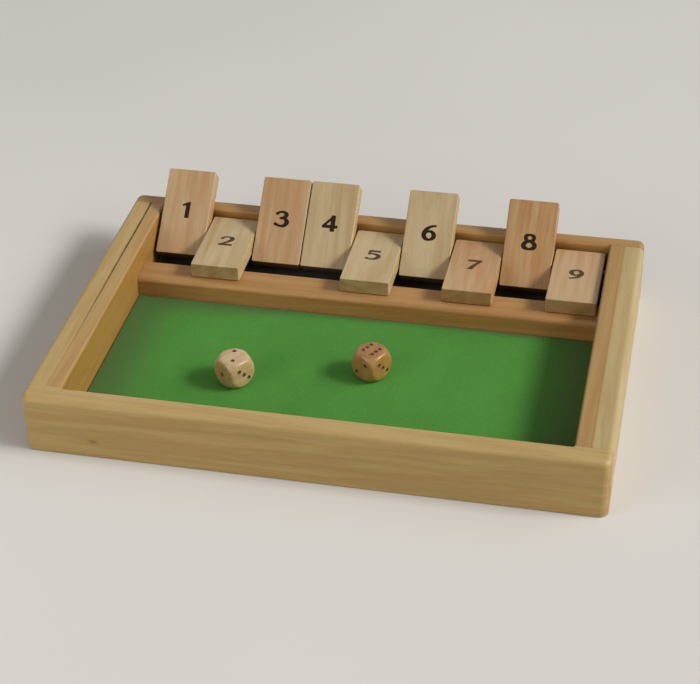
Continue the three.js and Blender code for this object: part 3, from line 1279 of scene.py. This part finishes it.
# The figures' feet and heads, as cuts, and the figures' strokes; nine is six turned round
FOOT: Triple = (0.0, -1.0, 4.8)
HEAD: Triple = (0.0, 1.0, 4.8)
FIGURES: dict[int, tuple[Stroke, ...]] = {
    1: (
        Stroke(((0.75, 6.4, 2.2), (0.75, -6.4, 2.25)), cuts=(FOOT, (-0.26, 1.0, 4.55))),
        Stroke(((1.2, 4.15, 1.1), (-0.4, 3.5, 1.3), (-1.9, 2.95, 1.05))),
    ),
    2: (
        Stroke(((-3.0, 2.35, 1.6), (-1.9, 3.75, 1.2), (0.3, 4.2, 1.2), (2.45, 3.1, 2.2),
                (2.3, 1.1, 2.2), (0.2, -1.5, 1.6), (-3.1, -4.2, 1.2))),
        Stroke(((-3.0, -3.95, 1.7), (4.6, -3.95, 1.7)), cuts=((1.0, 0.22, 2.8),)),
    ),
    3: (
        Stroke(((-2.9, 3.0, 1.5), (-1.4, 4.1, 1.15), (0.9, 4.15, 1.3), (2.25, 2.7, 2.2),
                (1.3, 1.0, 1.6), (-0.7, 0.45, 1.1))),
        Stroke(((-0.7, 0.5, 1.1), (1.6, 0.2, 1.5), (3.0, -1.8, 2.4), (1.6, -3.95, 1.8),
                (-0.9, -4.25, 1.15), (-3.2, -3.3, 1.7))),
    ),
    4: (
        Stroke(((1.5, 4.3, 1.2), (-3.7, -1.7, 1.3)), cuts=(HEAD,)),
        Stroke(((-5.2, -1.95, 1.7), (5.0, -1.95, 1.7)), cuts=((-1.0, 0.3, 3.5), (1.0, -0.2, 4.4))),
        Stroke(((1.35, 6.4, 2.3), (1.35, -6.4, 2.3)), cuts=(FOOT, HEAD)),
    ),
    5: (
        Stroke(((-2.2, 3.95, 1.7), (4.8, 3.95, 1.7)), cuts=((1.0, 0.2, 3.9),)),
        Stroke(((-2.2, 4.0, 1.25), (-2.55, 0.9, 1.15))),
        Stroke(((-2.5, 0.95, 1.15), (0.1, 1.15, 1.4), (2.55, -0.3, 2.2), (2.55, -2.4, 2.3),
                (0.6, -4.1, 1.6), (-1.7, -4.25, 1.15), (-3.3, -3.6, 1.6))),
    ),
    6: (
        Stroke(((3.1, 4.25, 1.1), (0.9, 3.75, 1.3), (-1.5, 1.9, 1.9), (-2.65, -1.0, 2.3),
                (-1.7, -3.5, 2.0), (0.4, -4.2, 1.25), (2.4, -3.1, 2.0), (2.75, -1.2, 2.3),
                (1.6, 0.5, 1.7), (0.0, 0.8, 1.15), (-1.7, -0.1, 1.2))),
    ),
    7: (
        Stroke(((-5.0, 3.9, 1.8), (3.0, 3.9, 1.8)), cuts=((-1.0, -0.1, 3.1),)),
        Stroke(((3.0, 3.9, 1.7), (1.2, 0.9, 1.7), (-0.6, -2.3, 2.2), (-1.9, -5.8, 2.5)),
               cuts=(FOOT,)),
    ),
    8: (
        Stroke(((0.0, 4.2, 1.2), (2.0, 3.5, 1.8), (2.0, 1.6, 1.8), (0.1, 0.45, 1.5),
                (-1.95, 1.6, 1.8), (-2.0, 3.5, 1.8)), closed=True),
        Stroke(((0.0, 0.5, 1.4), (2.6, -1.0, 2.1), (2.6, -3.2, 2.2), (0.0, -4.2, 1.25),
                (-2.6, -3.2, 2.2), (-2.6, -1.0, 2.1)), closed=True),
    ),
}

# Which sides of a grid's cell the outline joins, by the corners that are inked: 1 is the first
# corner, 2, 4 and 8 are the next ones round the cell, and side 0 is the one between 1 and 2
OUTLINE_TURNS = {
    1: ((0, 3),), 2: ((1, 0),), 3: ((1, 3),), 4: ((2, 1),), 5: ((2, 3), (0, 1)), 6: ((2, 0),),
    7: ((2, 3),), 8: ((3, 2),), 9: ((0, 2),), 10: ((3, 0), (1, 2)), 11: ((1, 2),), 12: ((3, 1),),
    13: ((0, 1),), 14: ((3, 0),),
}


@dataclass(frozen=True)
class Figure:
    """One printed figure, as a thin closed layer of ink.

    Its outline is traced on a grid of cells within half_width and half_height. melt rounds the
    corners where strokes meet, bold thickens them, and wide and tall stretch the figure. ink is
    how far the layer stands on the wood, and sunk how far its foot is in it.
    """

    number: int
    cell: float = 0.11
    half_width: float = 5.2
    half_height: float = 5.4
    melt: float = 0.10
    bold: float = 0.1
    wide: float = 1.03
    tall: float = 0.965
    ink: float = 0.035
    sunk: float = 0.012

    def depth(self) -> tuple[np.ndarray, np.ndarray, np.ndarray]:
        """Works out how deep each place of a grid lies inside the figure.

        Returns:
            The depths, and the places along X and Y.
        """
        far_outside, least = -9.0, 1e-30
        xs = np.arange(-self.half_width, self.half_width + self.cell, self.cell)
        ys = np.arange(-self.half_height, self.half_height + self.cell, self.cell)
        across, up = np.meshgrid(xs, ys)
        total = np.zeros_like(across)
        for stroke in FIGURES[6 if self.number == 9 else self.number]:
            inside = np.full_like(across, far_outside)
            for x, y, half in stroke.samples():
                inside = np.maximum(inside, half - np.hypot(across - x, up - y))
            for side, rise, limit in stroke.cuts:
                room = (limit - side * across - rise * up) / math.hypot(side, rise)
                inside = np.minimum(inside, room)
            total += np.exp(inside / self.melt)
        deep = self.melt * np.log(np.maximum(total, least)) + self.bold
        return (deep[::-1, ::-1] if self.number == 9 else deep), xs, ys

    def loops(self) -> list[list[Vector]]:
        """Follows the figure's outline round the grid.

        Returns:
            Its closed loops, with the ink on their left.
        """
        deep, xs, ys = self.depth()
        inked = deep > 0
        follows: dict[tuple, tuple] = {}
        for j, i in np.ndindex(len(ys) - 1, len(xs) - 1):
            round_cell = ((j, i), (j, i + 1), (j + 1, i + 1), (j + 1, i))
            code = sum(int(inked[corner]) << k for k, corner in enumerate(round_cell))
            sides = ((j, i, j, i + 1), (j, i + 1, j + 1, i + 1), (j + 1, i, j + 1, i + 1),
                     (j, i, j + 1, i))
            for start, end in OUTLINE_TURNS.get(code, ()):
                follows[sides[start]] = sides[end]

        def crossing(side: tuple[int, int, int, int]) -> Vector:
            """Finds where the outline crosses a side of a cell.

            Args:
                side: The rows and columns of the side's two ends.

            Returns:
                The place.
            """
            j0, i0, j1, i1 = side
            share = deep[j0, i0] / (deep[j0, i0] - deep[j1, i1])
            return Vector((xs[i0] + (xs[i1] - xs[i0]) * share,
                           ys[j0] + (ys[j1] - ys[j0]) * share, 0.0))

        loops = []
        while follows:
            side, onward = follows.popitem()
            loops.append([crossing(side)])
            while onward in follows:
                loops[-1].append(crossing(onward))
                onward = follows.pop(onward)
        return loops

    def mesh(self) -> bpy.types.Mesh:
        """Builds the layer of ink.

        Returns:
            The mesh, centred, facing +Z, its wood at height 0.
        """
        loops = self.loops()
        layer = bmesh.new()
        upper, lower = ([layer.verts.new((self.wide * c.x, self.tall * c.y, height))
                         for loop in loops for c in loop] for height in (self.ink, -self.sunk))
        for a, b, c in geometry.tessellate_polygon(loops):
            layer.faces.new((upper[a], upper[b], upper[c]))
            layer.faces.new((lower[c], lower[b], lower[a]))
        start = 0
        for loop in loops:
            here = slice(start, start + len(loop))
            bridge(layer, lower[here], upper[here])
            start += len(loop)
        return as_mesh(layer, f"figure_{self.number}", closed=True)


@dataclass
class FlapTile:
    """One numbered tile on the rod, with a figure on both of its faces.

    reach and tail are its lengths before and behind the rod, and tipped its turn when it stands.
    The shifts are its figures' places off the middle of each face, towards the tile's tail. Its
    tail end's face is drawn darker, as painted shade.
    """

    number: int
    rest: Rest
    finish: WoodFinish
    pith: Pair
    lean: Pair
    seed: float
    node: bpy.types.Object
    thickness: float = 8.4
    reach: float = 36.3
    tail: float = 13.72
    tipped: float = -139.46
    # Painted shade on the tail end's face, which sits in the dark well
    end_shade: float = 0.34
    top_shift: float = 0.9
    under_shift: float = -1.0

    def turned(self) -> float:
        """Gives the tile's turn about the rod at rest, in degrees."""
        return self.tipped if self.rest is Rest.STANDING else 0.0

    def rod_place(self) -> Vector:
        """Finds the rod in the middle of the tile's width.

        Returns:
            The place, in metres.
        """
        rod_low, rod_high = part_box("tile_rod")
        low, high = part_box(self.node.name)
        rod = (rod_low + rod_high) / 2
        return Vector(((low.x + high.x) / 2, rod.y, rod.z))

    def dress(self) -> None:
        """Gives the tile its wood, with the grain along its length however it rests."""
        cut = Cut(Grain.ALONG_Y, tuple(self.rod_place() / MM), self.pith, self.lean, self.seed,
                  self.turned(), self.end_shade)
        dress(self.node, self.finish.material(f"tile_{self.number}_wood", cut))
        Easing().apply(self.node)

    def print_figure(self, face: Face, ink: bpy.types.Material) -> None:
        """Prints the tile's figure near the middle of a face, its head to the uppermost end.

        Args:
            face: The face.
            ink: The ink.
        """
        name = f"figure_{self.number}_{face.name.lower()}"
        figure = new_piece(name, Figure(self.number).mesh(), smooth=False)
        dress(figure, ink)
        shift = self.top_shift if face is Face.TOP else self.under_shift
        middle = Matrix.Translation((0.0, ((self.tail - self.reach) / 2 + shift) * MM, 0.0))
        face_up = Matrix.Rotation(math.radians(face.value), 4, "X")
        lift = Matrix.Translation((0.0, 0.0, self.thickness / 2 * MM))
        tip = Matrix.Rotation(math.radians(self.turned()), 4, "X")
        rod = Matrix.Translation(self.rod_place())
        figure.matrix_world = rod @ tip @ middle @ face_up @ lift
        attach(figure, f"flap_{self.number}")

    def build(self, ink: bpy.types.Material) -> None:
        """Dresses the tile and prints it.

        Args:
            ink: The ink of its figures.
        """
        self.dress()
        for face in Face:
            self.print_figure(face, ink)
        LOG.info("tile %d, %s", self.number, self.rest.value)


@dataclass
class Die:
    """A wooden die: a cube turned down almost to a ball, with its pips drilled and stained.

    yaw and roll are its turn, in degrees. The pips of the faces in crossed lie the other way round
    in their face. sharpness is how suddenly a flat runs into the ball, cells how many faces there
    are along a side, and crease the least angle that is shaded as an edge.
    """

    name: str
    body: str
    finish: WoodFinish
    yaw: float
    roll: float
    seed: float
    crossed: tuple[int, ...]
    side: float = 16.0
    ball: float = 10.5
    sharpness: float = 22.0
    cells: int = 36
    pip: float = 1.15
    pip_depth: float = 0.6
    spread: float = 3.0
    drill_faces: tuple[int, int] = (28, 18)
    crease: float = 32.0
    pith: Pair = (16.0, -9.0)
    lean: Pair = (3.0, 5.0)

    def patterns(self) -> tuple[tuple[tuple[tuple[int, int], ...], Matrix], ...]:
        """Lists the pips of each face.

        Returns:
            The pips, in shares of their spread, and the turn that brings +Z to the face.
        """
        corners = ((-1, -1), (-1, 1), (1, -1), (1, 1))
        slope = ((-1, -1), (1, 1))
        quarter = math.pi / 2
        faces = (
            (slope, 0.0, "X"),
            (corners + ((0, 0),), 2 * quarter, "X"),
            (((0, 0),), quarter, "Y"),
            (corners + ((-1, 0), (1, 0)), -quarter, "Y"),
            (slope + ((0, 0),), -quarter, "X"),
            (corners, quarter, "X"),
        )
        return tuple(
            (pips, Matrix.Rotation(angle, 4, axis)
             @ Matrix.Rotation(quarter * (len(pips) in self.crossed), 4, "Z"))
            for pips, angle, axis in faces
        )

    def blank(self) -> bpy.types.Mesh:
        """Builds the die before it is drilled, its flats running into the ball.

        Returns:
            Its mesh, in millimetres about its middle.
        """
        made = bmesh.new()
        bmesh.ops.create_cube(made, size=2.0)
        bmesh.ops.subdivide_edges(made, edges=made.edges[:], cuts=self.cells - 1,
                                  use_grid_fill=True)
        half, power = self.side / 2, self.sharpness
        for vert in made.verts:
            way = Vector(math.tan(c * math.pi / 4) for c in vert.co).normalized()
            flat = half / max(abs(c) for c in way)
            vert.co = way * (flat ** -power + self.ball ** -power) ** (-1 / power)
        return as_mesh(made, self.name + "_blank")

    def drills(self) -> bpy.types.Mesh:
        """Builds the balls that cut the pips.

        Returns:
            Their mesh, in millimetres about the die's middle.
        """
        bore = (self.pip**2 + self.pip_depth**2) / (2 * self.pip_depth)
        height = self.side / 2 + bore - self.pip_depth
        around, down = self.drill_faces
        made = bmesh.new()
        for pips, turn in self.patterns():
            for across, up in pips:
                place = turn @ Matrix.Translation((across * self.spread, up * self.spread, height))
                bmesh.ops.create_uvsphere(made, u_segments=around, v_segments=down, radius=bore,
                                          matrix=place)
        return as_mesh(made, self.name + "_drills")

    def drilled(self) -> bpy.types.Mesh:
        """Drills the pips.

        Returns:
            The die's mesh, in metres about its middle, with the pips' faces in the second
            material's place.
        """
        blank = new_piece(self.name + "_blank", self.blank())
        drills = new_piece(self.name + "_drills", self.drills())
        for piece in (blank, drills):
            for _ in range(2):
                piece.data.materials.append(None)
        for polygon in drills.data.polygons:
            polygon.material_index = 1
        cut = blank.modifiers.new("drill", "BOOLEAN")
        cut.operation, cut.object = "DIFFERENCE", drills
        cut.solver, cut.material_mode = "EXACT", "INDEX"
        bpy.context.view_layer.update()
        finished = blank.evaluated_get(bpy.context.evaluated_depsgraph_get())
        mesh = bpy.data.meshes.new_from_object(finished)
        for piece in (blank, drills):
            bpy.data.objects.remove(piece)
        mesh.transform(Matrix.Scale(MM, 4))
        return mesh

    def build(self, stain: bpy.types.Material) -> None:
        """Builds and dresses the die where the frame has it.

        Args:
            stain: The stain in its pips.
        """
        die = new_piece("wooden_" + self.name, self.drilled())
        cut = Cut(Grain.ALONG_X, (0.0, 0.0, 0.0), self.pith, self.lean, self.seed)
        die.data.materials[0] = self.finish.material(self.name + "_wood", cut)
        die.data.materials[1] = stain
        die.data.set_sharp_from_angle(angle=math.radians(self.crease))
        low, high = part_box(self.name)
        turn = (Matrix.Rotation(math.radians(self.yaw), 4, "Z")
                @ Matrix.Rotation(math.radians(self.roll), 4, "Y"))
        die.matrix_world = Matrix.Translation((low + high) / 2) @ turn
        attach(die, self.body)
        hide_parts(self.name)
        LOG.info("turned %s, %d faces", self.name, len(die.data.polygons))


@dataclass(frozen=True)
class Lamp:
    """A soft lamp that looks at the game, in metres and watts; way is the direction to it."""

    name: str
    way: Triple
    distance: float
    wide: float
    tall: float
    watts: float

    def hang(self) -> None:
        """Hangs the lamp."""
        light = bpy.data.lights.new(self.name, "AREA")
        light.shape, light.size, light.size_y = "RECTANGLE", self.wide, self.tall
        light.energy = self.watts
        lamp = new_object(self.name, light)
        towards = Vector(self.way).normalized()
        lamp.location = towards * self.distance
        lamp.rotation_mode = "QUATERNION"
        lamp.rotation_quaternion = towards.to_track_quat("Z", "Y")


@dataclass(frozen=True)
class Studio:
    """The pale floor, the soft lamps and the camera.

    Distances are in metres, angles in degrees, and the camera's lens and film in millimetres.
    surround is how strong the even light is, and pale the colour of the floor and the wall.
    """

    eye: Triple = (0.172, -0.763, 0.570)
    aim: Triple = (0.0, -0.0028, 0.015)
    roll: float = -1.46
    lens: float = 93.7
    film: float = 36.0
    surround: float = 0.24
    daylight: Colour = (1.0, 0.96, 0.90, 1.0)
    pale: Colour = (0.70, 0.675, 0.64, 1.0)
    floor_radius: float = 6.0
    floor_sides: int = 96
    floor_cloud: Texture = Texture((0.004, 0.004, 0.004), gives=(0.985, 1.015))
    floor_roughness: float = 0.9
    floor_specular: float = 0.1
    lamps: tuple[Lamp, ...] = (
        Lamp("key", way=(1.0, 0.0, 0.79), distance=6.0, wide=1.6, tall=1.3, watts=215.0),
        Lamp("side", way=(1.0, 0.0, 0.66), distance=6.0, wide=7.0, tall=1.5, watts=160.0),
        Lamp("fill", way=(-0.7, -0.8, 0.5), distance=1.05, wide=0.55, tall=0.55, watts=2.75),
    )

    def floor(self) -> None:
        """Lays the floor, which isn't part of the game."""
        made = bmesh.new()
        bmesh.ops.create_circle(made, cap_ends=True, segments=self.floor_sides,
                                radius=self.floor_radius)
        floor = new_piece("studio_floor", as_mesh(made, "studio_floor"), smooth=False)
        bench = Bench("floor_paint")
        tone = bench.tint(self.pale[:3], bench.patches(bench.place(), self.floor_cloud))
        dress(floor, bench.finish(Base_Color=tone, Roughness=self.floor_roughness,
                                  Specular_IOR_Level=self.floor_specular))

    def surroundings(self) -> None:
        """Sets the world: plain even light, and a pale wall for the camera and reflections."""
        world = bpy.data.worlds.new("studio")
        bpy.context.scene.world = world
        world.use_nodes = True
        nodes = Nodes(world.node_tree)
        walls = []
        for colour, strength in ((self.daylight, self.surround), (self.pale, 1.0)):
            wall = nodes.add("ShaderNodeBackground")
            nodes.feed([wall.inputs["Color"], wall.inputs["Strength"]], colour, strength)
            walls.append(wall.outputs[0])
        rays = nodes.add("ShaderNodeLightPath").outputs
        seen = rays["Is Camera Ray"]
        for ray in ("Is Glossy Ray", "Is Transmission Ray"):
            seen = nodes.math("MAXIMUM", seen, rays[ray])
        mix = nodes.add("ShaderNodeMixShader")
        nodes.feed(mix.inputs, seen, *walls)
        nodes.feed([nodes.add("ShaderNodeOutputWorld").inputs["Surface"]], mix.outputs[0])

    def camera(self) -> None:
        """Sets the camera at the picture's viewing angle."""
        data = bpy.data.cameras.new("camera")
        data.sensor_width, data.lens = self.film, self.lens
        camera = new_object("camera", data)
        forward = (Vector(self.aim) - Vector(self.eye)).normalized()
        right = forward.cross(Vector((0.0, 0.0, 1.0))).normalized()
        up = right.cross(forward)
        turn = math.radians(self.roll)
        level = right * math.cos(turn) + up * math.sin(turn)
        looks = Matrix((level, level.cross(forward), -forward)).transposed().to_4x4()
        camera.matrix_world = Matrix.Translation(self.eye) @ looks
        bpy.context.scene.camera = camera

    def build(self) -> None:
        """Sets the whole studio."""
        bpy.context.scene.view_settings.view_transform = "Standard"
        self.floor()
        for lamp in self.lamps:
            lamp.hang()
        self.surroundings()
        self.camera()
        LOG.info("set the floor, the lamps and the camera")


def corners(bounds: tuple[Vector, Vector]) -> list[list[float]]:
    """Turns a pair of corners into plain lists of numbers."""
    return [list(corner) for corner in bounds]


def main() -> None:
    """Builds the game's pieces in order."""
    logging.basicConfig(level=logging.INFO, format="%(message)s")
    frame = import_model()
    nodes = frame["nodes"]
    Studio().build()
    Tray(nodes).dress()
    FeltFloor().build()
    inks = {Rest.STANDING: BLACK_INK.material("figure_ink"),
            Rest.LYING: FLAT_TILE_INK.material("flat_tile_ink")}
    tiles = (
        (1, Rest.STANDING, WARM_TILE, (26.0, -30.0), (1.5, 2.0), 1.3),
        (2, Rest.LYING, PALE_TILE, (-30.0, -44.0), (1.0, -1.5), 2.3),
        (3, Rest.STANDING, WARM_TILE, (-40.0, -26.0), (2.0, 1.0), 3.3),
        (4, Rest.STANDING, PALE_TILE, (36.0, -40.0), (0.5, 1.5), 4.3),
        (5, Rest.LYING, PALE_TILE, (18.0, -52.0), (1.5, 1.0), 5.3),
        (6, Rest.STANDING, PALE_TILE, (12.0, -26.0), (5.0, 2.0), 6.3),
        (7, Rest.LYING, WARM_TILE, (-22.0, -38.0), (2.0, -1.0), 7.3),
        (8, Rest.STANDING, TAWNY_TILE, (20.0, -22.0), (4.0, -2.0), 8.3),
        (9, Rest.LYING, WARM_TILE, (40.0, -36.0), (1.0, 1.0), 9.3),
    )
    for number, rest, finish, pith, lean, seed in tiles:
        tile = FlapTile(number, rest, finish, pith, lean, seed, nodes[f"tile_{number}"])
        tile.build(inks[rest])
    stain = PIP_STAIN.material("pip_stain")
    Die("die_1", "loose_die_1", DIE_WOOD, yaw=-126.0, roll=0.0, seed=1.7,
        crossed=(3,)).build(stain)
    Die("die_2", "loose_die_2", WARM_DIE_WOOD, yaw=-121.0, roll=90.0, seed=2.7,
        crossed=(2, 6)).build(stain)


if __name__ == "__main__":
    main()
